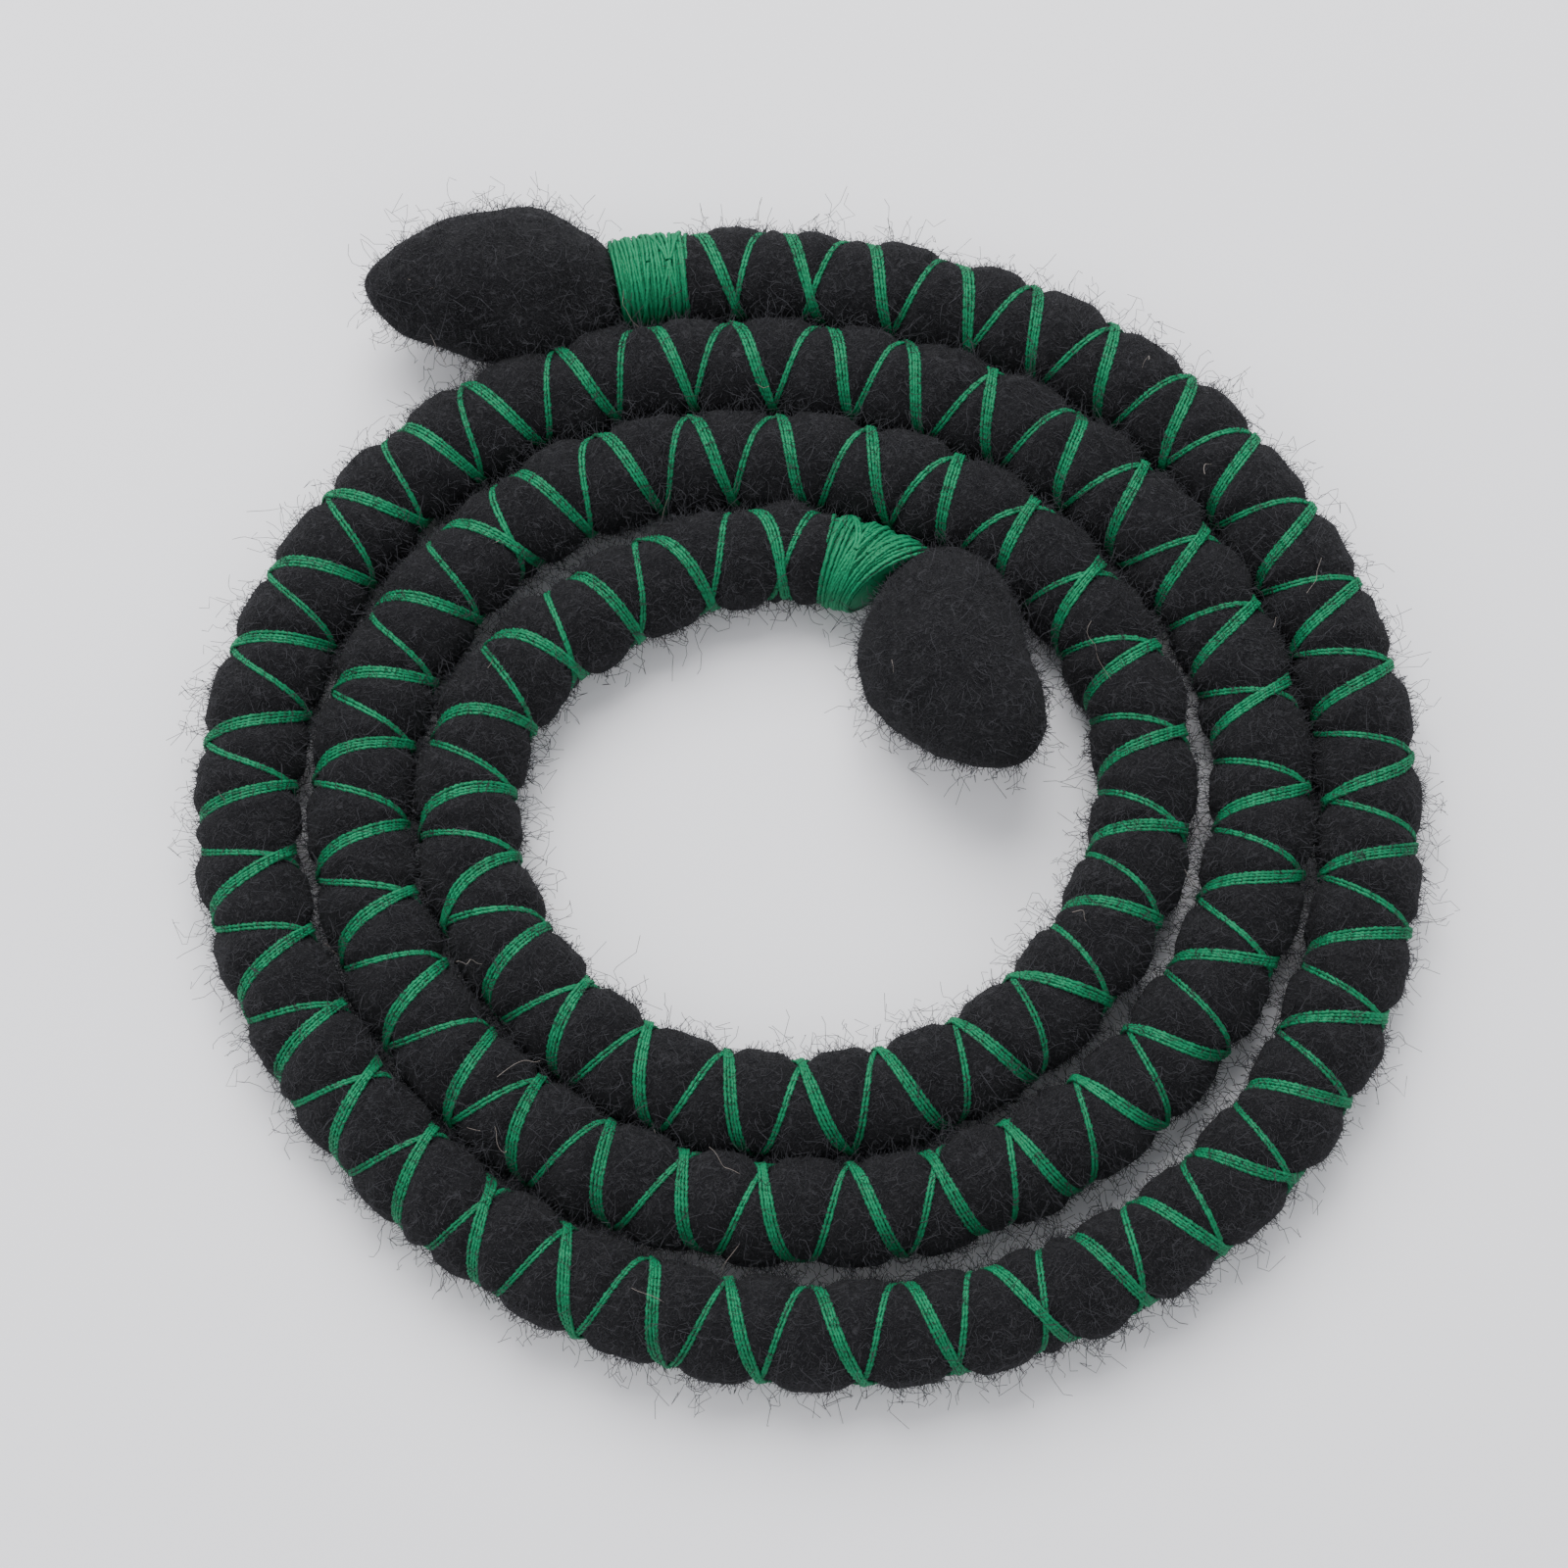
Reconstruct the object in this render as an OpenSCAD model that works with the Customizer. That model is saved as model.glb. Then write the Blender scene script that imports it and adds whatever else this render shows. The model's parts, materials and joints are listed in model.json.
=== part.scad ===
// Bendable hair tie: a wire-cored rope of felted wool, criss-crossed with thread and rolled
// into a flat coil. The rope is divided into links, with a hinge wherever the wire bends.

/* [Rope] */
// Diameter of the rope over the cross thread
rope_d = 11.4; // [10.6:0.1:11.5]
// Distance from one bulge to the next
pitch = 10; // [9.9:0.02:10]
// Diameter of the bendable core wire
wire_d = 1.6; // [1:0.1:2]

/* [Thread] */
// Width of one wrap of the cross thread
wrap_w = 1.2; // [0.8:0.1:1.2]
// Thickness of a wrap and of a collar, on the wool
wrap_h = 0.3; // [0.2:0.1:0.5]
// Slant of a wrap, one way for the thread out and the other for the thread back
wrap_slant = 14; // [8:1:14]

/* [Ends] */
// Length of the wound collar at each end
collar_l = 9.4; // [9:0.1:9.6]
// Length of the felted tip at the outer end
outer_tip_l = 31; // [28:0.5:32]
// Greatest diameter of the outer tip
outer_tip_d = 17.6; // [16:0.2:17.6]
// Length of the felted tip at the inner end
inner_tip_l = 29; // [27:0.5:30]
// Greatest diameter of the inner tip
inner_tip_d = 19; // [17:0.2:19]
// How far the inner tip is already bent towards the middle of the coil
inner_tip_turn = 44; // [0:1:45]
// How far the outer tip is already bent away from the middle of the coil
outer_tip_turn = 8; // [0:1:12]
// Diameter of the rounded base that lets a tip bend beside its collar
tip_base_d = 11.2; // [10:0.2:11.4]

/* [Hidden] */
// Radius of the coil at every eighth of a turn, clockwise from the top and from the outside
// in. The first two and the last two only steer the ends of the curve.
coil_r = [
    100, 74,
    62, 62, 65, 68, 65.5, 64, 63.5, 57.5,
    50, 50, 53, 53, 52, 52, 50.5, 44.5,
    38, 38, 39.5, 39.5, 40, 40, 38, 29.5,
    26, 23, 20
];
step_a = 45;
// Where the coil's centre lies, so that the origin is under the middle of the object
centre = [-0.8, 1.5];
// Angles at which the rope ends, clockwise from the top of the first turn
outer_end_a = -19;
inner_end_a = 1107;

// Bulges on each link, from the inner end out, so that each link turns about as far
link_bulges = [3, 4, 4, 4, 4, 4, 5, 5, 5, 5, 5, 6, 6, 7, 7, 7, 7, 8];
links = len(link_bulges);

slack = 0.15;
base_gap = 0.3;
lean_spare = 1.5;
hinge_margin = 1;
bore_gap = 0.1;
eye_r = 2;
wire_in_tip = 10;
far = 40;
run_over = 3;
fine = 48;
rope_z = rope_d / 2;
wool_r = rope_z - wrap_h;
wire_r = wire_d / 2;
base_r = tip_base_d / 2;
$fn = fine;

// Smooth curve through the radii
function ease(u, p0, p1, p2, p3) =
    p1 + u / 2 * (p2 - p0 + u * (2 * p0 - 5 * p1 + 4 * p2 - p3 + u * (3 * (p1 - p2) + p3 - p0)));
function radius_at(a) =
    let (t = a / step_a + 2, i = floor(t))
    ease(t - i, coil_r[i - 1], coil_r[i], coil_r[i + 1], coil_r[i + 2]);
function coil_point(a) = centre + radius_at(a) * [sin(a), cos(a)];

// Length along the rope against angle, measured from the inner end
scan_a = 1.5;
reach = [
    for (a = inner_end_a, s = 0; a >= outer_end_a;
         s = s + norm(coil_point(a) - coil_point(a - scan_a)), a = a - scan_a)
    [s, a]
];
function rope_point(s) = coil_point(lookup(s, reach));

function sum_to(list, n) = n <= 0 ? 0 : list[n - 1] + sum_to(list, n - 1);
function heading(a, b) = atan2(b.y - a.y, b.x - a.x);
function short_way(a) = a < -180 ? a + 360 : a > 180 ? a - 360 : a;
function circle_centre(a, b, c) =
    let (d = 2 * (a.x * (b.y - c.y) + b.x * (c.y - a.y) + c.x * (a.y - b.y)))
    [(a * a * (b.y - c.y) + b * b * (c.y - a.y) + c * c * (a.y - b.y)) / d,
     (a * a * (c.x - b.x) + b * b * (a.x - c.x) + c * c * (b.x - a.x)) / d];

// Link k is one arc from hinge k - 1 to hinge k. The first and last hinges are the collars.
hinge_s = [for (k = [0 : links]) collar_l + pitch * sum_to(link_bulges, k)];
hinges = [for (s = hinge_s) rope_point(s)];
hinge_a = [for (s = hinge_s) heading(rope_point(s - pitch / 4), rope_point(s + pitch / 4))];
arc_centres = [
    for (k = [1 : links])
    circle_centre(hinges[k - 1], rope_point((hinge_s[k - 1] + hinge_s[k]) / 2), hinges[k])
];
function centre_of(k) = arc_centres[k - 1];
function radius_of(k) = norm(hinges[k] - centre_of(k));
function start_of(k) = heading(centre_of(k), hinges[k - 1]);
function sweep_of(k) = short_way(heading(centre_of(k), hinges[k]) - start_of(k));
function link_heading(k) = heading(hinges[k - 1], hinges[k]);
function hinge_turn(k) = short_way(link_heading(k + 1) - link_heading(k));

function collar_turn(k) = collar_l / radius_of(k) * 180 / PI;

// Where the two ends of the wool are, and the directions in which they face
inner_face_a = start_of(1) - collar_turn(1);
outer_face_a = start_of(links) + sweep_of(links) + collar_turn(links);
inner_face = centre_of(1) + radius_of(1) * [cos(inner_face_a), sin(inner_face_a)];
outer_face = centre_of(links) + radius_of(links) * [cos(outer_face_a), sin(outer_face_a)];
inner_out_a = inner_face_a - 90;
outer_out_a = outer_face_a + 90;

function two_digits(k) = k < 10 ? str("0", k) : str(k);
function names(stem) = [for (k = [1 : links]) str(stem, two_digits(k))];

// Children at a point of the rope's height, with their X axis turned to an angle
module at(p, a) {
    translate([p.x, p.y, rope_z]) rotate(a) children();
}

// Round bar of radius r along the arc of link k. It runs past a hinge, to be cut off there,
// and on under the collar at an end of the rope.
module bar(k, r) {
    before = k > 1 ? run_over : collar_turn(1);
    after = k < links ? run_over : collar_turn(links);
    at(centre_of(k), start_of(k) - before)
        rotate_extrude(angle = sweep_of(k) + before + after, $fn = 180)
            translate([radius_of(k), 0]) circle(r = r, $fn = fine);
}

// Children at a share of the way along link k, with their X axis along it
module along(k, share) {
    at(centre_of(k), start_of(k) + share * sweep_of(k))
        translate([radius_of(k), 0, 0]) rotate(90) children();
}

// What is cut off past a hinge: all of it past the middle, and a notch where the bend closes
module past_hinge(turn) {
    translate([-slack, -far / 2, -far / 2]) cube(far);
    translate([-slack, 0, 0]) rotate(-turn / 2 - hinge_margin)
        translate([0, -far, -far / 2]) cube(far);
}

module hinge_cuts(k) {
    if (k < links) {
        at(hinges[k], hinge_a[k]) past_hinge(hinge_turn(k));
    }
    if (k > 1) {
        at(hinges[k - 1], hinge_a[k - 1]) mirror([1, 0, 0]) past_hinge(hinge_turn(k - 1));
    }
}

module sleeve(k) {
    color([0.07, 0.07, 0.08])
    difference() {
        bar(k, wool_r);
        bar(k, wire_r + bore_gap);
        hinge_cuts(k);
    }
}

module wire(k) {
    color("silver")
    difference() {
        bar(k, wire_r);
        hinge_cuts(k);
    }
}

// Wraps of link k: each leans to one side and to the other, where the thread out and the
// thread back cross
module thread(k) {
    color([0.05, 0.5, 0.25])
    for (i = [1 : link_bulges[k - 1] - 1]) {
        intersection() {
            difference() {
                bar(k, rope_z);
                bar(k, wool_r);
            }
            along(k, i / link_bulges[k - 1]) union() {
                for (slant = [-wrap_slant, wrap_slant]) {
                    rotate(slant) cube([wrap_w, 3 * rope_z, 3 * rope_z], center = true);
                }
            }
        }
    }
}

// Ring of thread wound side by side over the wool, past the first or the last link
module collar(k) {
    color([0.05, 0.5, 0.25])
    at(centre_of(k), k == 1 ? start_of(1) - collar_turn(1) : start_of(k) + sweep_of(k))
        rotate_extrude(angle = collar_turn(k), $fn = 180) translate([radius_of(k), 0])
            difference() {
                circle(r = rope_z, $fn = fine);
                circle(r = wool_r, $fn = fine);
            }
}

module inner_collar() {
    collar(1);
}

module outer_collar() {
    collar(links);
}

// Half outline of a felted tip: a round base, a full belly and a blunt point
belly_at = 0.42;
function belly(t, r) =
    t < belly_at ? base_r + (r - base_r) * pow(sin(90 * t / belly_at), 1.2)
    : r * pow(cos(90 * (t - belly_at) / (1 - belly_at)), 0.75);
module tip_outline(l, r) {
    front = l - base_gap - base_r;
    polygon(concat(
        [for (a = [-90 : 15 : -15]) [base_r * cos(a), base_r * sin(a)]],
        [for (t = [0 : 0.06 : 0.96]) [belly(t, r), front * t]],
        [[0, front]]
    ));
}

// The end of the wire, bent back into an eye so that it can't poke through the felt
module wire_eye(grow) {
    rotate([0, 90, 0]) cylinder(h = wire_in_tip + grow, r = wire_r + grow);
    translate([wire_in_tip + eye_r + wire_r / 2, 0, 0])
        rotate_extrude() translate([eye_r, 0]) circle(r = wire_r + grow);
}

module tip(l, d) {
    color([0.06, 0.06, 0.07])
    difference() {
        rotate([0, 90, 0]) rotate_extrude() tip_outline(l, d / 2);
        wire_eye(bore_gap);
        translate([-far, 0, 0]) rotate([0, 90, 0]) cylinder(h = far, r = wire_r + bore_gap);
    }
}

// A tip leans up so that its belly lies on what the coil lies on, with a little to spare
function lean(l, d) = lean_spare + asin((d / 2 - rope_z) / (belly_at * (l - base_gap - base_r)));

// Children at a tip's hinge, a base radius past the collar
module at_tip(face, a, turn, up) {
    at(face, a) translate([base_gap + base_r, 0, 0]) rotate([0, -up, turn]) children();
}

module at_inner_tip() {
    at_tip(inner_face, inner_out_a, -inner_tip_turn, lean(inner_tip_l, inner_tip_d)) children();
}

module at_outer_tip() {
    at_tip(outer_face, outer_out_a, -outer_tip_turn, lean(outer_tip_l, outer_tip_d)) children();
}

module inner_tip() {
    at_inner_tip() tip(inner_tip_l, inner_tip_d);
}

module outer_tip() {
    at_outer_tip() tip(outer_tip_l, outer_tip_d);
}

module inner_wire_end() {
    color("silver") at_inner_tip() wire_eye(0);
}

module outer_wire_end() {
    color("silver") at_outer_tip() wire_eye(0);
}

for (k = [1 : links]) {
    sleeve(k);
    thread(k);
    wire(k);
}
inner_collar();
outer_collar();
inner_tip();
outer_tip();
inner_wire_end();
outer_wire_end();
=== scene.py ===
import json
from math import cos, pi, radians, sin, tau

import bpy
import numpy as np
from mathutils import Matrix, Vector


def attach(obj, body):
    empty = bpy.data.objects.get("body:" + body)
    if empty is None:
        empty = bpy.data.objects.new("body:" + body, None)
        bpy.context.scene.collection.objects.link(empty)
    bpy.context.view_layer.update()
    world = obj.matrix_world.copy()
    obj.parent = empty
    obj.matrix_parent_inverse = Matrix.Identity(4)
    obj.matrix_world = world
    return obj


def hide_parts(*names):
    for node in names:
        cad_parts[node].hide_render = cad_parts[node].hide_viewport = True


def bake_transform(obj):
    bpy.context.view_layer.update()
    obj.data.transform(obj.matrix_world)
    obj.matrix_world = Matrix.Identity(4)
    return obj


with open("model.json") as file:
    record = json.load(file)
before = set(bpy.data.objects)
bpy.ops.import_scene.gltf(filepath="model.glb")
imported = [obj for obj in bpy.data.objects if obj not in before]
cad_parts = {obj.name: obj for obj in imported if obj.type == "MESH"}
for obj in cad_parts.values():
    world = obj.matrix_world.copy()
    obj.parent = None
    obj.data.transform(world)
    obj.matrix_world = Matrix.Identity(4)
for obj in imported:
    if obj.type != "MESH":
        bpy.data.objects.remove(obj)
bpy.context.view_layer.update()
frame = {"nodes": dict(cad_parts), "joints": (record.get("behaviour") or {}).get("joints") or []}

# ---- Camera, floor and light -----------------------------------------------------------
# The tie lies on a plain pale floor and is seen almost from above. One broad soft light
# stands behind it, with a weaker one on each side, and the room itself is bright.

camera_data = bpy.data.cameras.new("camera")
camera_data.lens = 86
camera_data.sensor_width = 36
camera_data.clip_start = 0.01
camera = bpy.data.objects.new("camera", camera_data)
bpy.context.scene.collection.objects.link(camera)
view_height = radians(72)
view_distance = 0.437
view_target = Vector((-0.0028, 0.0015, 0))
camera.location = view_target + view_distance * Vector((0, -cos(view_height), sin(view_height)))
camera.rotation_euler = (pi / 2 - view_height, 0, 0)
bpy.context.scene.camera = camera

for name, place, size, watts in (
    ("back_light", (-0.1, 0.55, 0.75), 0.7, 13.0),
    ("left_light", (-0.8, -0.1, 0.6), 0.6, 2.5),
    ("front_light", (0.4, -0.7, 0.9), 0.8, 2.5),
):
    lamp = bpy.data.lights.new(name, "AREA")
    lamp.size = size
    lamp.energy = watts
    light = bpy.data.objects.new(name, lamp)
    light.location = place
    light.rotation_euler = (-Vector(place)).to_track_quat("-Z", "Y").to_euler()
    bpy.context.scene.collection.objects.link(light)

room = bpy.data.worlds.new("room")
room.use_nodes = True
room.node_tree.nodes["Background"].inputs["Color"].default_value = (0.95, 0.97, 1.0, 1)
room.node_tree.nodes["Background"].inputs["Strength"].default_value = 0.72
bpy.context.scene.world = room


class Socket:
    """A node's output, on which arithmetic adds Math nodes."""

    def __init__(self, tree, link):
        self.tree = tree
        self.link = link

    def math(self, operation, *values):
        node = self.tree.nodes.new("ShaderNodeMath")
        node.operation = operation
        for entry, value in zip(node.inputs, values):
            plug(self.tree, value, entry)
        return Socket(self.tree, node.outputs[0])

    def __add__(self, other):
        return self.math("ADD", self, other)

    def __sub__(self, other):
        return self.math("SUBTRACT", self, other)

    def __rsub__(self, other):
        return self.math("SUBTRACT", other, self)

    def __mul__(self, other):
        return self.math("MULTIPLY", self, other)

    def __rtruediv__(self, other):
        return self.math("DIVIDE", other, self)

    def __abs__(self):
        return self.math("ABSOLUTE", self)

    def at_most(self, other):
        return self.math("MINIMUM", self, other)

    def at_least(self, other):
        return self.math("MAXIMUM", self, other)

    __radd__ = __add__
    __rmul__ = __mul__


def plug(tree, value, entry):
    if isinstance(value, Socket):
        tree.links.new(value.link, entry)
    else:
        entry.default_value = value


class Recipe:
    """A node tree, to which every node that isn't plain arithmetic is added by one method."""

    def __init__(self, tree):
        self.tree = tree

    def add(self, kind, settings=(), inputs=()):
        node = self.tree.nodes.new(kind)
        for name, value in dict(settings).items():
            setattr(node, name, value)
        for name, value in dict(inputs).items():
            plug(self.tree, value, node.inputs[name])
        return {
            key: Socket(self.tree, output)
            for number, output in enumerate(node.outputs)
            for key in (number, output.name)
        }

    def mix(self, share, first, second):
        # sockets 0, 6 and 7 of a colour Mix are its factor and its two colours
        return self.add(
            "ShaderNodeMix", {"data_type": "RGBA"}, {0: share, 6: first, 7: second}
        )[2]


def paint(name, finish, fixed):
    """A material whose Principled shader has these fixed values and the links that finish makes."""
    material = bpy.data.materials.new(name)
    material.use_nodes = True
    tree = material.node_tree
    shader = tree.nodes["Principled BSDF"]
    for entry, value in fixed.items():
        shader.inputs[entry].default_value = value
    for entry, value in finish(Recipe(tree)).items():
        plug(tree, value, shader.inputs[entry])
    return material


def floor_finish(mix):
    place = mix.add("ShaderNodeTexCoord")["Object"]
    cloud = mix.add("ShaderNodeTexNoise", {}, {"Vector": place, "Scale": 9.0, "Detail": 4.0})
    return {"Base Color": mix.mix(cloud[0], (0.88, 0.87, 0.91, 1), (0.94, 0.93, 0.96, 1))}


bpy.ops.mesh.primitive_plane_add(size=4, location=(0, 0, 0))
floor = bpy.context.object
floor.name = "floor"
floor.data.materials.append(paint("pale_paint", floor_finish, {"Roughness": 0.75}))

# ---- The way the rope lies -------------------------------------------------------------
# The rope is rolled flat by hand, a little over three turns, so its radius wanders. It is
# measured along its middle from the inner end, and its height is that of the frame's hinges.

mm = 0.001
radii_step = 45
# One radius for each step, from the outside in; the first two and last two only steer the ends
radii = mm * np.array([
    100, 74,
    62, 62, 65, 68, 65.5, 64, 63.5, 57.5,
    50, 50, 53, 53, 52, 52, 50.5, 44.5,
    38, 38, 39.5, 39.5, 40, 40, 38, 29.5,
    26, 23, 20,
])
coil_centre = mm * np.array([-0.8, 1.5])
outer_end_turned, inner_end_turned = -19, 1107
collar_length = 9.4 * mm
pitch = 10 * mm
bulges_of_link = [3, 4, 4, 4, 4, 4, 5, 5, 5, 5, 5, 6, 6, 7, 7, 7, 7, 8]
joints = {joint["child"]: joint for joint in frame["joints"]}
rope_height = joints["link_02"]["pos_m"][2]
tip_reach = 5.9 * mm


def radius_at(turned):
    place = turned / radii_step + 2
    first = np.floor(place).astype(int)
    u = place - first
    a, b, c, d = (radii[first + step] for step in (-1, 0, 1, 2))
    return b + u / 2 * (c - a + u * (2 * a - 5 * b + 4 * c - d + u * (3 * (b - c) + d - a)))


turned = np.linspace(inner_end_turned, outer_end_turned, 4000)
line = coil_centre + radius_at(turned)[:, None] * np.stack(
    [np.sin(np.radians(turned)), np.cos(np.radians(turned))], axis=1
)


def lengths(points):
    return np.concatenate([[0], np.cumsum(np.linalg.norm(np.diff(points, axis=0), axis=1))])


def tip_heading(body):
    axis = joints[body]["axis"]
    return np.array([-axis[1], axis[0]])


def turn(vector, angle):
    return np.array([
        vector[0] * cos(angle) - vector[1] * sin(angle),
        vector[0] * sin(angle) + vector[1] * cos(angle),
    ])


# Both ends of the line are led to the faces that the tips' hinges stand off from
inner_tip_turn, outer_tip_turn = radians(44), radians(8)
inner_way = turn(tip_heading("inner_end"), inner_tip_turn)
outer_way = turn(tip_heading("outer_end"), outer_tip_turn)
inner_face = np.array(joints["inner_end"]["pos_m"][:2]) - tip_reach * inner_way
outer_face = np.array(joints["outer_end"]["pos_m"][:2]) - tip_reach * outer_way
led = 30 * mm
along = lengths(line)
rope_length = along[-1]
near_inner = np.clip(1 - along / led, 0, 1) ** 2
near_outer = np.clip(1 - (rope_length - along) / led, 0, 1) ** 2
line = line + near_inner[:, None] * (inner_face - line[0])
line = line + near_outer[:, None] * (outer_face - line[-1])
ahead = np.gradient(line, along, axis=0)
ahead /= np.linalg.norm(ahead, axis=1)[:, None]


def middle(s):
    """Points of the rope's middle, and the level directions that point away from the coil."""
    x, y = (np.interp(s, along, line[:, i]) for i in (0, 1))
    ax, ay = (np.interp(s, along, ahead[:, i]) for i in (0, 1))
    beyond = np.minimum(s, 0) + np.maximum(s - rope_length, 0)
    point = np.stack([x + beyond * ax, y + beyond * ay, np.full_like(x, rope_height)], axis=-1)
    return point, np.stack([ay, -ax, np.zeros_like(ax)], axis=-1)


def on_rope(s, angle, radius):
    """Points at a distance from the middle, at an angle from straight up towards the outside."""
    s, angle, radius = np.broadcast_arrays(s, angle, radius)
    point, out = middle(s)
    up = np.array([0, 0, 1.0])
    return point + radius[..., None] * (np.sin(angle)[..., None] * out + np.cos(angle)[..., None] * up)


hinge_s = collar_length + pitch * np.concatenate([[0], np.cumsum(bulges_of_link)])
seam_s = (hinge_s[:-1] + hinge_s[1:]) / 2
links = len(bulges_of_link)

# ---- Cross threads: their paths --------------------------------------------------------
# One green thread is wound out along the rope and back, the other way round, so it crosses
# itself twice in each pitch. The hand's pull makes the crossings wander round the rope.


def crossing_angle(s):
    return (
        pi / 2
        + 0.55 * np.sin(tau * s / (311 * mm) + 0.4)
        + 0.40 * np.sin(tau * s / (143 * mm) + 2.0)
        + 0.20 * np.sin(tau * s / (47 * mm) + 1.0)
    )


def slant(s):
    return 0.42 * np.sin(tau * s / (390 * mm) + 0.8) + 0.14 * np.sin(tau * s / (61 * mm))


def wander(s, hand):
    return 0.045 * np.sin(tau * s / (27 * mm) + hand) + 0.03 * np.sin(tau * s / (16.3 * mm) + 2 * hand)


def turns_behind(s, angle, hand):
    """How many turns a point of the rope's skin is past the thread of that hand."""
    wound = hand * (angle - crossing_angle(s))
    return (
        (s - collar_length) / pitch
        - wound / tau
        - hand * slant(s) * np.sin(wound) / tau
        - wander(s, hand)
    )


def from_thread(s, angle, hand):
    """Distance along the rope from a point of its skin to the thread of that hand."""
    behind = turns_behind(s, angle, hand)
    return pitch * (behind - np.round(behind))


# ---- Wool rope -------------------------------------------------------------------------
# Carded black wool is wound over the core wire and felted by hand into one soft rope about
# twelve millimetres thick. The threads sink into it and pull it into rounded bulges.

bulge_radius = 6.1 * mm
groove_radius = 5.05 * mm
groove_width = 1.3 * mm
band_half = {1: 0.60 * mm, -1: 0.30 * mm}
bound_radius = 4.3 * mm
ring_gap = 0.5 * mm
around = 64
off_floor = 0.1 * mm
lap_depth = 0.06 * mm


def waves(points, size, seed):
    """Smooth random field of about unit height over points, with features of this size."""
    draw = np.random.default_rng(seed)
    ways = draw.normal(size=(3, 24))
    ways *= tau / size / np.linalg.norm(ways, axis=0) * draw.uniform(0.6, 1.5, 24)
    return np.cos(points @ ways + draw.uniform(0, tau, 24)).sum(axis=-1) / 24 ** 0.5


def puff(s, angle):
    """How far the wool swells at a point of its skin, from 0 under a thread to 1."""
    clear = [
        np.maximum(np.abs(from_thread(s, angle, hand)) - half, 0) / groove_width
        for hand, half in band_half.items()
    ]
    return np.sqrt((1 - np.exp(-clear[0] ** 2)) * (1 - np.exp(-clear[1] ** 2)))


def wool_radius(s, angle):
    swell = puff(s, angle)
    rough = on_rope(s, angle, bulge_radius)
    lumps = 0.16 * mm * waves(rough, 9 * mm, 1) + 0.06 * mm * waves(rough, 3 * mm, 2)
    full = groove_radius + (bulge_radius - groove_radius) * swell + lumps * (0.4 + 0.6 * swell)
    full += 0.04 * mm * waves(rough, 1.2 * mm, 3) * (0.3 + 0.7 * swell)
    from_end = np.minimum(s - collar_length, hinge_s[-1] - s)
    bound = 0.35 + 0.65 * np.sqrt(np.clip((from_end + 0.6 * mm) / (3.2 * mm), 0, 1))
    return bound_radius + (full - bound_radius) * bound


def skin(name, rings):
    """A closed mesh over rings of points, each end closed on its ring's middle."""
    count, sides = rings.shape[:2]
    ends = np.stack([rings[0].mean(axis=0), rings[-1].mean(axis=0)])
    points = np.concatenate([rings.reshape(-1, 3), ends])
    ring, side = np.meshgrid(np.arange(count - 1), np.arange(sides), indexing="ij")
    here = ring * sides + side
    beside = ring * sides + (side + 1) % sides
    quads = np.stack([here, beside, beside + sides, here + sides], axis=-1).reshape(-1, 4)
    edge = np.arange(sides)
    following = (edge + 1) % sides
    first = np.stack([following, edge, np.full(sides, count * sides)], axis=1)
    last_ring = (count - 1) * sides
    last = np.stack([last_ring + edge, last_ring + following, np.full(sides, count * sides + 1)], axis=1)
    corners = points[quads] - points.mean(axis=0)
    volume = np.einsum("ij,ij->i", corners[:, 0], np.cross(corners[:, 1], corners[:, 2])).sum()
    faces = quads.tolist() + first.tolist() + last.tolist()
    if volume < 0:
        faces = [face[::-1] for face in faces]
    mesh = bpy.data.meshes.new(name)
    mesh.from_pydata(points.tolist(), [], faces)
    mesh.shade_smooth()
    piece = bpy.data.objects.new(name, mesh)
    bpy.context.scene.collection.objects.link(piece)
    return piece


def fibre_lines(mix, place, size, thinness, shift):
    """Thin curling lines, 1 along their middle: the level curves of a twisted noise."""
    moved = mix.add("ShaderNodeVectorMath", {"operation": "ADD"}, {0: place, 1: (shift, shift, 0)})[0]
    noise = mix.add(
        "ShaderNodeTexNoise", {},
        {"Vector": moved, "Scale": 1 / size, "Detail": 1.5, "Distortion": 1.2},
    )[0]
    return 1 - (abs(noise - 0.5) * thinness).at_most(1.0)


def wool_finish(mix):
    place = mix.add("ShaderNodeTexCoord")["Object"]
    patches = mix.add("ShaderNodeTexNoise", {}, {"Vector": place, "Scale": 230.0, "Detail": 3.0})[0]
    grain = mix.add("ShaderNodeTexNoise", {}, {"Vector": place, "Scale": 2600.0, "Detail": 2.0})[0]
    coarse = fibre_lines(mix, place, 1.5 * mm, 34.0, 0.31)
    fine = fibre_lines(mix, place, 0.8 * mm, 22.0, 0.77)
    fibres = coarse.at_least(fine * 0.8)
    ground = mix.mix(patches, (0.0035, 0.0035, 0.0042, 1), (0.0095, 0.0095, 0.0112, 1))
    colour = mix.mix(fibres * (0.25 + 0.5 * grain), ground, (0.045, 0.045, 0.050, 1))
    relief = mix.add(
        "ShaderNodeBump", {}, {"Strength": 1.0, "Distance": 0.25 * mm, "Height": fibres * 0.7 + grain}
    )[0]
    return {"Base Color": colour, "Normal": relief}


wool = paint("black_felted_wool", wool_finish, {
    "Roughness": 0.95, "Specular IOR Level": 0.12,
    "Sheen Weight": 0.12, "Sheen Roughness": 0.6, "Sheen Tint": (0.30, 0.30, 0.32, 1),
})


def two_digits(number):
    return f"{number:02d}"


def span_ends(span):
    """Where a span of the rope starts and ends: from the middle of one link to the next."""
    start = collar_length - 0.6 * mm if span == 0 else seam_s[span - 1]
    end = hinge_s[-1] + 0.6 * mm if span == links else seam_s[span]
    return start, end


def span_links(span):
    return [two_digits(k) for k in (span, span + 1) if 1 <= k <= links]


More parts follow.
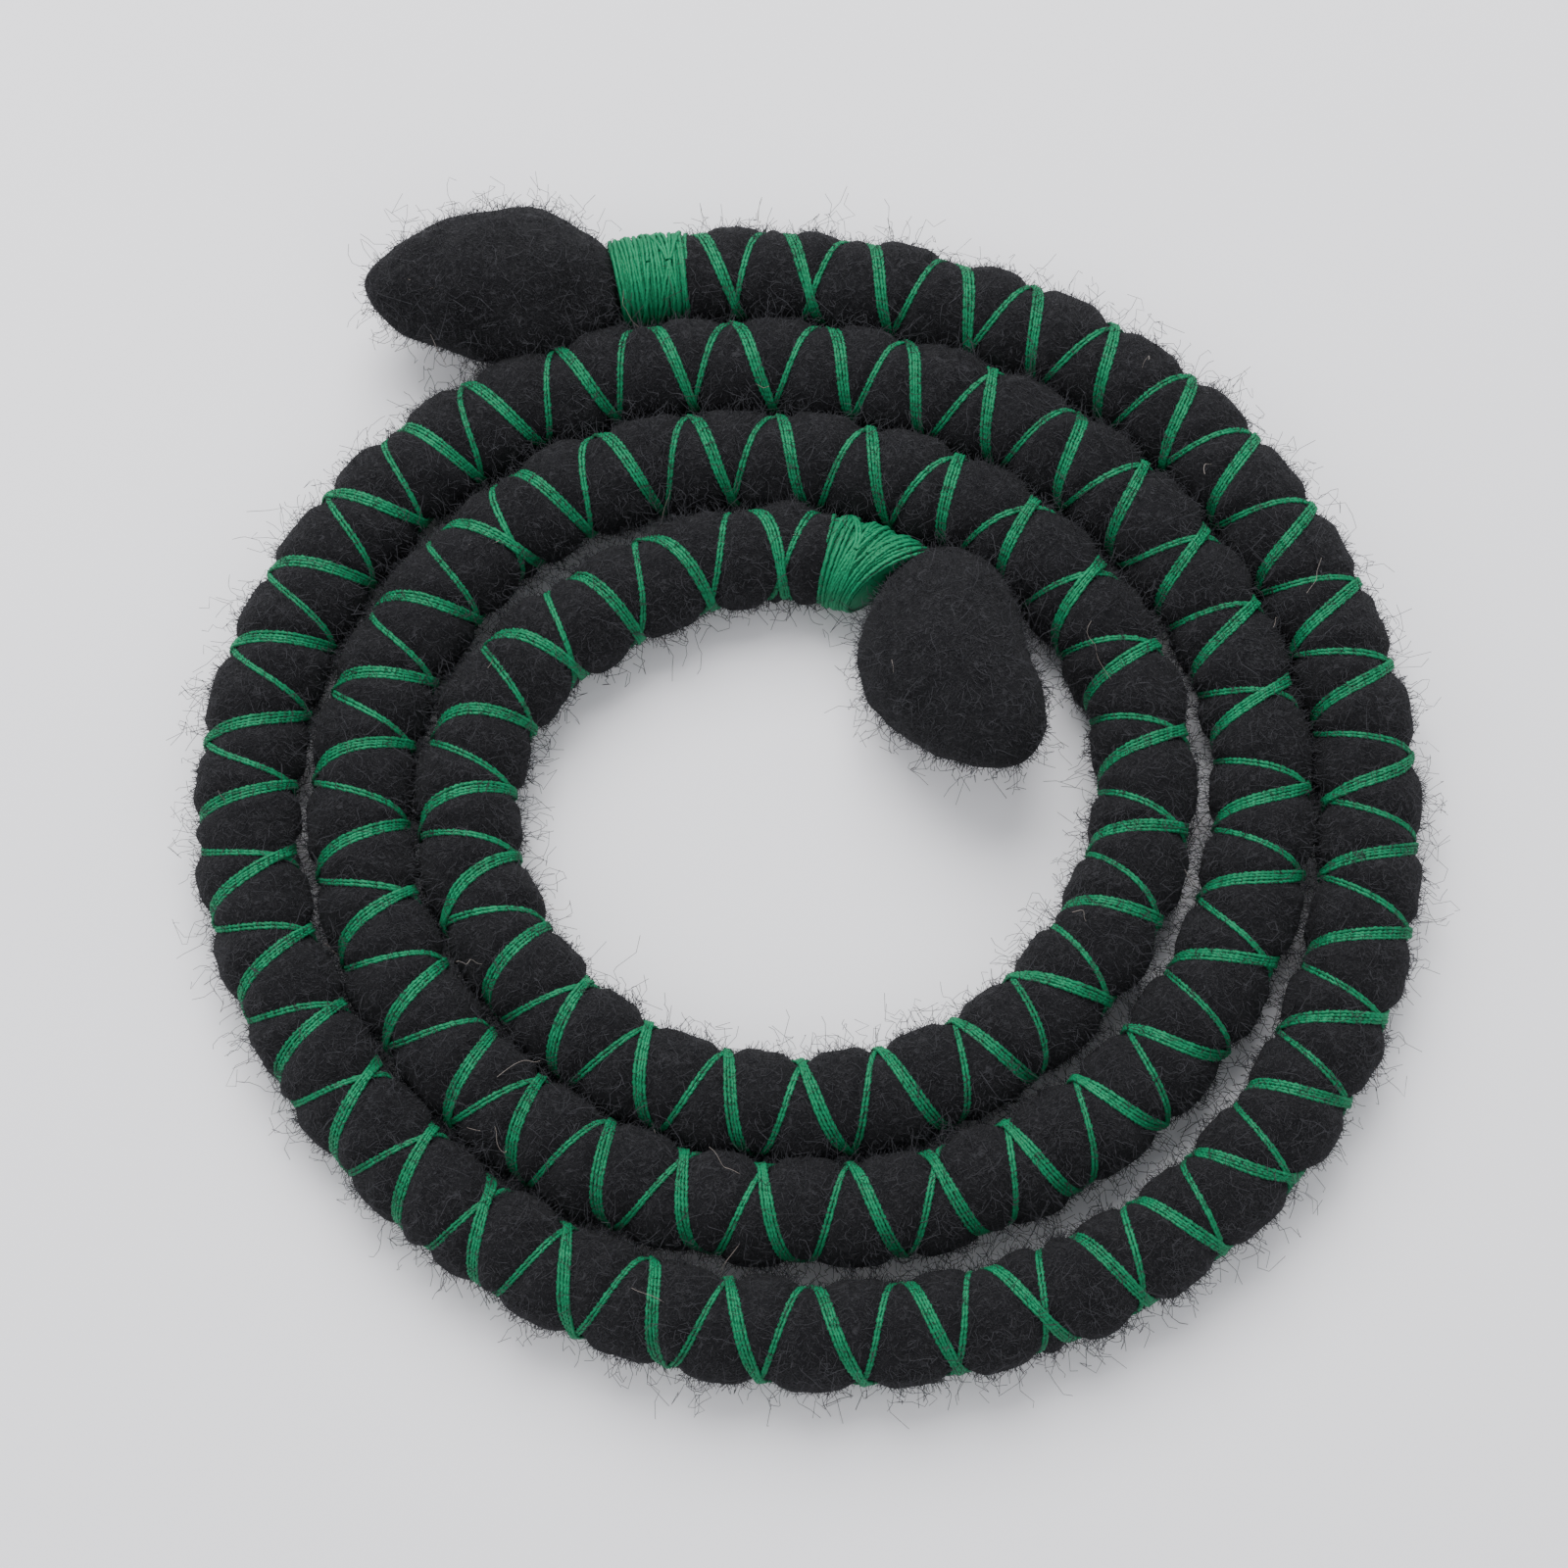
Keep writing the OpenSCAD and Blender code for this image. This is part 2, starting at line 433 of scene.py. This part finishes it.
def fit_span(piece, span, stem):
    """Hides the span's CAD parts, rides an end span on its link, and leaves any other span baked in place,
    unbent.
    """
    numbers = span_links(span)
    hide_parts(*[stem + number for number in numbers])
    if len(numbers) == 1:
        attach(piece, "link_" + numbers[0])
        return
    (start, end), _ = middle(np.array(span_ends(span)))
    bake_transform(piece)


wool_spans = []
for span in range(links + 1):
    start, end = span_ends(span)
    rings = round((end - start) / ring_gap)
    s = np.linspace(start, end, rings + 1)
    lapped = np.zeros(rings + 1)
    if span > 0:
        s = np.concatenate([[start - ring_gap], s])
        lapped = np.concatenate([[lap_depth], lapped])
    if span < links:
        s = np.concatenate([s, [end + ring_gap]])
        lapped = np.concatenate([lapped, [lap_depth]])
    angle = np.linspace(0, tau, around, endpoint=False)
    grid_s, grid_angle = np.meshgrid(s, angle, indexing="ij")
    points = on_rope(grid_s, grid_angle, wool_radius(grid_s, grid_angle) - lapped[:, None])
    points[..., 2] = np.maximum(points[..., 2], off_floor)
    piece = skin(f"wool_{two_digits(span)}", points)
    piece.data.materials.append(wool)
    fit_span(piece, span, "sleeve_")
    wool_spans.append(piece)

# ---- Cross threads ---------------------------------------------------------------------
# Stranded green cotton: four fine two-ply strands lie side by side on the way out, and two
# on the way back. They are pulled tight into the wool and dive under each other's crossings.

strand_radius = 0.26 * mm
strand_gap = 0.38 * mm
thread_step = 0.6 * mm
span_overlap = 0.3 * mm


def two_ply_tree():
    tree = bpy.data.node_groups.new("two_ply_strand", "GeometryNodeTree")
    face = tree.interface
    face.new_socket("Geometry", in_out="INPUT", socket_type="NodeSocketGeometry")
    for label, value in (("Radius", strand_radius), ("Ply depth", 0.16), ("Twist per metre", 1900.0)):
        face.new_socket(label, in_out="INPUT", socket_type="NodeSocketFloat").default_value = value
    face.new_socket("Finish", in_out="INPUT", socket_type="NodeSocketMaterial")
    face.new_socket("Geometry", in_out="OUTPUT", socket_type="NodeSocketGeometry")
    mix = Recipe(tree)
    given = mix.add("NodeGroupInput")
    length = mix.add("GeometryNodeSplineParameter")["Length"]
    twisted = mix.add(
        "GeometryNodeSetCurveTilt", {},
        {"Curve": given["Geometry"], "Tilt": length * given["Twist per metre"]},
    )[0]
    ring = mix.add(
        "GeometryNodeCurvePrimitiveCircle", {}, {"Resolution": 5, "Radius": given["Radius"]}
    )[0]
    parts = mix.add("ShaderNodeSeparateXYZ", {}, {0: mix.add("GeometryNodeInputPosition")[0]})
    angle = parts["Y"].math("ARCTAN2", parts["Y"], parts["X"])
    swell = 1 + given["Ply depth"] * (angle * 2).math("COSINE", angle * 2)
    place = mix.add("GeometryNodeInputPosition")[0]
    plies = mix.add(
        "GeometryNodeSetPosition", {},
        {"Geometry": ring,
         "Position": mix.add("ShaderNodeVectorMath", {"operation": "SCALE"}, {0: place, "Scale": swell})[0]},
    )[0]
    tube = mix.add(
        "GeometryNodeCurveToMesh", {}, {"Curve": twisted, "Profile Curve": plies, "Fill Caps": True}
    )[0]
    smooth = mix.add("GeometryNodeSetShadeSmooth", {}, {0: tube})[0]
    whole = mix.add("GeometryNodeRealizeInstances", {}, {0: smooth})[0]
    done = mix.add("GeometryNodeSetMaterial", {}, {"Geometry": whole, "Material": given["Finish"]})[0]
    tree.links.new(done.link, tree.nodes.new("NodeGroupOutput").inputs[0])
    return tree


def thread_finish(mix):
    place = mix.add("ShaderNodeTexCoord")["Object"]
    dye = mix.add("ShaderNodeTexNoise", {}, {"Vector": place, "Scale": 320.0, "Detail": 2.0})[0]
    fibre_and_highlight = mix.add("ShaderNodeTexNoise", {}, {"Vector": place, "Scale": 3800.0, "Detail": 2.0})[0]
    colour = mix.mix(dye, (0.002, 0.115, 0.044, 1), (0.004, 0.22, 0.094, 1))
    # Fine fibre flecks are lightened up to about half way toward a bright green: painted highlight glints on
    # the thread. The same noise also gives the fibres' bump and roughness.
    colour = mix.mix(((fibre_and_highlight - 0.5) * 3.0).at_least(0.0).at_most(1.0) * 0.55, colour, (0.010, 0.38, 0.18, 1))
    relief = mix.add(
        "ShaderNodeBump", {}, {"Strength": 0.5, "Distance": 0.05 * mm, "Height": fibre_and_highlight}
    )[0]
    return {"Base Color": colour, "Normal": relief, "Roughness": 0.5 + 0.3 * fibre_and_highlight}


green = paint("green_cotton_thread", thread_finish, {
    "Specular IOR Level": 0.3,
    "Sheen Weight": 0.08, "Sheen Roughness": 0.4, "Sheen Tint": (0.2, 0.9, 0.5, 1),
})


def grown(data, name, tree, inputs):
    """A plain mesh object that a geometry tree makes from a mesh or a curve."""
    source = bpy.data.objects.new(name + "_source", data)
    bpy.context.scene.collection.objects.link(source)
    maker = source.modifiers.new("maker", "NODES")
    maker.node_group = tree
    identifiers = {
        item.name: item.identifier
        for item in tree.interface.items_tree
        if item.in_out == "INPUT"
    }
    for label, value in inputs.items():
        maker[identifiers[label]] = value
    evaluated = source.evaluated_get(bpy.context.evaluated_depsgraph_get())
    mesh = bpy.data.meshes.new_from_object(evaluated)
    mesh.name = name
    piece = bpy.data.objects.new(name, mesh)
    bpy.context.scene.collection.objects.link(piece)
    source.modifiers.remove(maker)
    bpy.data.objects.remove(source)
    return piece


def strands_curve(name, strands):
    """A curve with one open line through each strand's points."""
    curve = bpy.data.curves.new(name, "CURVE")
    curve.dimensions = "3D"
    for points in strands:
        spline = curve.splines.new("POLY")
        spline.points.add(len(points) - 1)
        spline.points.foreach_set("co", np.insert(points, 3, 1, axis=1).ravel())
    return curve


def thread_path(hand):
    """Distances along the rope and angles round it, from end to end of the wool."""
    wound = np.arange(0, tau * (hinge_s[-1] - hinge_s[0]) / pitch, thread_step / (5.2 * mm))
    s = collar_length + pitch * wound / tau
    for _ in range(12):
        s = collar_length + pitch * (
            wound / tau + hand * slant(s) * np.sin(wound) / tau + wander(s, hand)
        )
    return s, hand * wound + crossing_angle(s)


def thread_radius(s, angle, hand, lift):
    over = lift * np.exp(-(from_thread(s, angle, -hand) / (1.0 * mm)) ** 2)
    return wool_radius(s, angle) + 0.1 * mm + over


strand_tree = two_ply_tree()
thread_curves = [[] for _ in range(links + 1)]
for hand, strands, lift in ((1, 4, 0.36 * mm), (-1, 2, 0.02 * mm)):
    s, angle = thread_path(hand)
    keep = (s > collar_length + 0.1 * mm) & (s < hinge_s[-1] - 0.1 * mm)
    s, angle = s[keep], angle[keep]
    pinch = 1 - 0.3 * np.exp(-(from_thread(s, angle, -hand) / (1.6 * mm)) ** 2)
    for strand in range(strands):
        beside = (strand - (strands - 1) / 2) * strand_gap * pinch
        beside = beside + 0.05 * mm * np.sin(s / (0.9 * mm) + 2 * strand + hand)
        radius = thread_radius(s + beside, angle, hand, lift)
        points = on_rope(s + beside, angle, radius)
        points[:, 2] = np.maximum(points[:, 2], off_floor + strand_radius)
        for span in range(links + 1):
            start, end = span_ends(span)
            inside = (s > start - span_overlap) & (s < end + span_overlap)
            thread_curves[span].append(points[inside])
for span, lines in enumerate(thread_curves):
    strands = strands_curve(f"strands_{span}", lines)
    piece = grown(strands, f"cross_thread_{two_digits(span)}", strand_tree, {"Finish": green})
    fit_span(piece, span, "thread_")

# ---- Collars ---------------------------------------------------------------------------
# The thread's ends are wound round the rope about twenty times beside each tip, close but
# not neat, over the wool. The inner collar is a wedge, because the rope bends hard there.

collar_core = 4.95 * mm
for name, body, rope_side, tip_side, wedge, seed in (
    ("inner_collar", "link_01", collar_length, -0.2 * mm, 3.4 * mm, 11),
    ("outer_collar", "link_18", hinge_s[-1], rope_length + 0.2 * mm, 0.3 * mm, 12),
):
    draw = np.random.default_rng(seed)
    way = np.sign(tip_side - rope_side)
    width = abs(tip_side - rope_side)

    def collar_s(share, angle):
        skewed = wedge * share * np.sin(angle)
        return rope_side + way * (share * (width - 0.8 * wedge) + skewed + 0.8 * wedge * share * 0.5)

    windings = []
    for layer, (turns, lay) in enumerate(((24, 0), (19, 0.32 * mm))):
        wound = np.arange(0, tau * turns, 0.4 * mm / (5.2 * mm))
        share = wound / wound[-1]
        share = share + 0.012 * np.sin(wound * 0.37 + seed) + (0.02 + 0.02 * layer) * np.sin(wound * 0.83 + 2)
        share = np.clip(share + 0.01 * np.sin(wound * 2.3), 0.02, 0.98)
        radius = collar_core + lay + 0.1 * mm * np.sin(wound * 0.61) - 0.35 * mm * (2 * share - 1) ** 8
        windings.append(on_rope(collar_s(share, wound), wound, radius))
    for loop in range(5):
        wound = np.arange(0, tau, 0.4 * mm / (5.2 * mm))
        lean = draw.uniform(-0.28, 0.28)
        share = np.clip(draw.uniform(0.3, 0.7) + lean * np.sin(wound + draw.uniform(0, tau)), 0.05, 0.95)
        windings.append(on_rope(collar_s(share, wound), wound, collar_core + 0.5 * mm))
    for points in windings:
        points[:, 2] = np.maximum(points[:, 2], off_floor + strand_radius)
    strands = strands_curve(name + "_strands", windings)
    wound = grown(strands, name + "_wound", strand_tree, {"Finish": green})
    share, angle = np.meshgrid(np.linspace(0, 1, 14), np.linspace(0, tau, 40, endpoint=False), indexing="ij")
    bed = skin(name + "_bed", on_rope(collar_s(share, angle), angle, np.full_like(share, collar_core)))
    bed.data.materials.append(green)
    for piece in (wound, bed):
        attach(piece, body)
        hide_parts(name)

# ---- Felted tips -----------------------------------------------------------------------
# Each end is wrapped in wool and needle felted into a firm bud round the wire's bent eye:
# a full belly beside the collar, then a blunt point. The tips lean up, as their bellies lie.

tip_pieces = []
for body, node, long, tucked, wide, lean, aim, sway, crush, belly, swell, blunt, seed in (
    ("inner_end", "inner_tip", 31.4 * mm, 6.8 * mm, 19.6 * mm, radians(20), radians(-3), 2.6 * mm,
     0.93, 0.43, 0.43, 0.56, 21),
    ("outer_end", "outer_tip", 31.0 * mm, 6.4 * mm, 19.0 * mm, radians(15), 0, 0.6 * mm,
     0.92, 0.34, 0.46, 0.56, 22),
):
    pivot = np.array(joints[body]["pos_m"])
    heading = np.append(turn(tip_heading(body), aim), 0)
    across = np.array([-heading[1], heading[0], 0])
    fore = cos(lean) * heading + np.array([0, 0, sin(lean)])
    over = np.cross(fore, across)
    back = -tucked
    front = long - tucked
    u = (1 - np.cos(np.linspace(0, pi, 90))) / 2
    rise = np.sin(pi / 2 * np.minimum(u / belly, 1)) ** swell
    fall = (1 - np.maximum((u - belly) / (1 - belly), 0) ** 1.8) ** blunt
    girth = wide / 2 * rise * fall
    angle = np.linspace(0, tau, 96, endpoint=False)
    grid_u, grid_angle = np.meshgrid(u, angle, indexing="ij")
    girth = np.broadcast_to(girth[:, None], grid_u.shape)
    x = back + (front - back) * grid_u
    side = girth * np.sin(grid_angle) - sway * np.sin(pi * np.minimum(grid_u, 0.95)) ** 2
    height = crush * girth * np.cos(grid_angle)
    points = pivot + x[..., None] * fore + side[..., None] * across - height[..., None] * over
    out = np.sin(grid_angle)[..., None] * across - np.cos(grid_angle)[..., None] * over
    dents = 0.35 * mm * waves(points, 11 * mm, seed) + 0.10 * mm * waves(points, 3.5 * mm, seed + 5)
    dents += 0.03 * mm * waves(points, 1.0 * mm, seed + 9)
    points = points + (dents * np.clip(girth / (4 * mm), 0, 1))[..., None] * out
    points[..., 2] = np.maximum(points[..., 2], 0.15 * mm)
    piece = skin(node + "_felt", points)
    piece.data.materials.append(wool)
    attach(piece, body)
    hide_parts(node)
    tip_pieces.append((piece, body, node))

# ---- Loose fibres ----------------------------------------------------------------------
# Carded wool never felts down flat: fine curled fibres stand off the rope and the tips all
# over, most of them short, and a few long ones stray. Here and there one is pale.

fibre_radius = 0.035 * mm
fibre_off_floor = 0.05 * mm


def fibre_tree():
    tree = bpy.data.node_groups.new("loose_fibres", "GeometryNodeTree")
    face = tree.interface
    face.new_socket("Geometry", in_out="INPUT", socket_type="NodeSocketGeometry")
    for label, value in (
        ("Fibres per square metre", 5e5), ("Length", 2 * mm), ("Curl", 1 * mm),
        ("Curl size", 2 * mm), ("Lie", 0.8), ("Radius", fibre_radius),
    ):
        face.new_socket(label, in_out="INPUT", socket_type="NodeSocketFloat").default_value = value
    for label in ("Points", "Seed"):
        face.new_socket(label, in_out="INPUT", socket_type="NodeSocketInt")
    face.new_socket("Finish", in_out="INPUT", socket_type="NodeSocketMaterial")
    face.new_socket("Geometry", in_out="OUTPUT", socket_type="NodeSocketGeometry")
    mix = Recipe(tree)
    given = mix.add("NodeGroupInput")
    roots = mix.add(
        "GeometryNodeDistributePointsOnFaces", {},
        {"Mesh": given["Geometry"], "Density": given["Fibres per square metre"], "Seed": given["Seed"]},
    )

    def random_vector(extra):
        return mix.add(
            "FunctionNodeRandomValue", {"data_type": "FLOAT_VECTOR"},
            {0: (-1, -1, -1), 1: (1, 1, 1), "Seed": given["Seed"] + extra},
        )[0]

    def vector_math(operation, first, second, scale=False):
        key = "Scale" if scale else 1
        return mix.add("ShaderNodeVectorMath", {"operation": operation}, {0: first, key: second})[0]

    tipped = vector_math("SCALE", random_vector(1.0), given["Lie"], scale=True)
    way = vector_math("ADD", roots["Normal"], tipped)
    rotation = mix.add("FunctionNodeAlignRotationToVector", {"axis": "Z"}, {"Vector": way})[0]
    chance = mix.add(
        "FunctionNodeRandomValue", {"data_type": "FLOAT"}, {2: 0.0, 3: 1.0, "Seed": given["Seed"] + 2.0}
    )[1]
    size = given["Length"] * (0.35 + 0.9 * chance * chance * chance + 0.4 * chance)
    hair = mix.add("GeometryNodeCurvePrimitiveLine", {}, {"Start": (0, 0, 0), "End": (0, 0, 1)})[0]
    hair = mix.add("GeometryNodeResampleCurve", {}, {"Curve": hair, "Count": given["Points"]})[0]
    placed = mix.add(
        "GeometryNodeInstanceOnPoints", {},
        {"Points": roots["Points"], "Instance": hair, "Rotation": rotation,
         "Scale": mix.add("ShaderNodeCombineXYZ", {}, {"X": size, "Y": size, "Z": size})[0]},
    )[0]
    marked = mix.add(
        "GeometryNodeStoreNamedAttribute", {"data_type": "FLOAT_VECTOR", "domain": "INSTANCE"},
        {"Geometry": placed, "Name": "own_way", "Value": random_vector(3.0)},
    )[0]
    loose = mix.add("GeometryNodeRealizeInstances", {}, {0: marked})[0]
    own = mix.add("GeometryNodeInputNamedAttribute", {"data_type": "FLOAT_VECTOR"}, {"Name": "own_way"})[0]
    shifted = vector_math(
        "ADD", mix.add("GeometryNodeInputPosition")[0], vector_math("SCALE", own, 0.02, scale=True)
    )
    noise = mix.add(
        "ShaderNodeTexNoise", {},
        {"Vector": shifted, "Scale": 1 / given["Curl size"], "Detail": 1.0},
    )["Color"]
    out_along = mix.add("GeometryNodeSplineParameter")["Factor"]
    curl = vector_math("SUBTRACT", noise, (0.5, 0.5, 0.5))
    curl = vector_math("SCALE", curl, given["Curl"] * out_along * 4.0, scale=True)
    curled = mix.add("GeometryNodeSetPosition", {}, {"Geometry": loose, "Offset": curl})[0]
    ring = mix.add(
        "GeometryNodeCurvePrimitiveCircle", {}, {"Resolution": 3, "Radius": given["Radius"]}
    )[0]
    tube = mix.add("GeometryNodeCurveToMesh", {}, {"Curve": curled, "Profile Curve": ring})[0]
    whole = mix.add("GeometryNodeRealizeInstances", {}, {0: tube})[0]
    done = mix.add("GeometryNodeSetMaterial", {}, {"Geometry": whole, "Material": given["Finish"]})[0]
    tree.links.new(done.link, tree.nodes.new("NodeGroupOutput").inputs[0])
    return tree


def dark_fibre_finish(mix):
    place = mix.add("ShaderNodeTexCoord")["Object"]
    shade = mix.add("ShaderNodeTexNoise", {}, {"Vector": place, "Scale": 700.0, "Detail": 1.0})[0]
    return {"Base Color": mix.mix(shade, (0.006, 0.006, 0.008, 1), (0.050, 0.050, 0.058, 1))}


def pale_fibre_finish(mix):
    place = mix.add("ShaderNodeTexCoord")["Object"]
    shade = mix.add("ShaderNodeTexNoise", {}, {"Vector": place, "Scale": 120.0, "Detail": 1.0})[0]
    return {"Base Color": mix.mix(shade, (0.10, 0.045, 0.035, 1), (0.42, 0.40, 0.37, 1))}


dark_fibre = paint(
    "dark_wool_fibre", dark_fibre_finish, {"Roughness": 0.7, "Specular IOR Level": 0.3}
)
pale_fibre = paint(
    "pale_stray_fibre", pale_fibre_finish, {"Roughness": 0.6, "Specular IOR Level": 0.3}
)
fibres = fibre_tree()


def joined(name, pieces):
    """One object from several meshes, which are removed."""
    with bpy.context.temp_override(
        active_object=pieces[0], object=pieces[0], selected_editable_objects=pieces
    ):
        bpy.ops.object.join()
    pieces[0].name = name
    pieces[0].data.name = name
    return pieces[0]


def fuzz(source, name, seed):
    """Loose fibres over a piece: a dense short nap, curled longer ones, and a few pale ones."""
    lots = []
    for lot, (density, points, length, curl, size, lie, finish) in enumerate((
        (24.0e5, 2, 0.85 * mm, 0.3 * mm, 1.0 * mm, 1.0, dark_fibre),
        (3.0e5, 8, 3.0 * mm, 3.0 * mm, 1.8 * mm, 1.3, dark_fibre),
        (0.012e5, 14, 5.5 * mm, 2.0 * mm, 5.0 * mm, 1.6, pale_fibre),
    )):
        lots.append(grown(source.data, f"{name}_{lot}", fibres, {
            "Fibres per square metre": density, "Length": length, "Curl": curl,
            "Curl size": size, "Lie": lie, "Points": points, "Seed": seed + lot, "Finish": finish,
        }))
    piece = joined(name, lots)
    heights = np.empty(len(piece.data.vertices) * 3, np.float32)
    piece.data.vertices.foreach_get("co", heights)
    heights[2::3] = np.maximum(heights[2::3], fibre_off_floor)
    piece.data.vertices.foreach_set("co", heights)
    return piece


for span, piece in enumerate(wool_spans):
    fit_span(fuzz(piece, f"fuzz_{two_digits(span)}", 100 * span), span, "sleeve_")
for place, (piece, body, node) in enumerate(tip_pieces):
    hairs = fuzz(piece, node + "_fuzz", 5000 + 100 * place)
    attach(hairs, body)
    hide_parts(node)

# ---- Core wire -------------------------------------------------------------------------
# A soft aluminium craft wire runs through the whole rope and ends in an eye in each tip. It
# is hidden in the wool, and its CAD pieces stay, with a drawn metal finish.


def wire_finish(mix):
    place = mix.add("ShaderNodeTexCoord")["Object"]
    drawn = mix.add("ShaderNodeTexNoise", {}, {"Vector": place, "Scale": 1800.0, "Detail": 2.0})[0]
    return {"Base Color": mix.mix(drawn, (0.62, 0.63, 0.65, 1), (0.82, 0.83, 0.85, 1)),
            "Roughness": 0.25 + 0.2 * drawn}


wire = paint("soft_aluminium_wire", wire_finish, {"Metallic": 1.0})
for name, node in frame["nodes"].items():
    if "wire" in name:
        node.data.materials.clear()
        node.data.materials.append(wire)
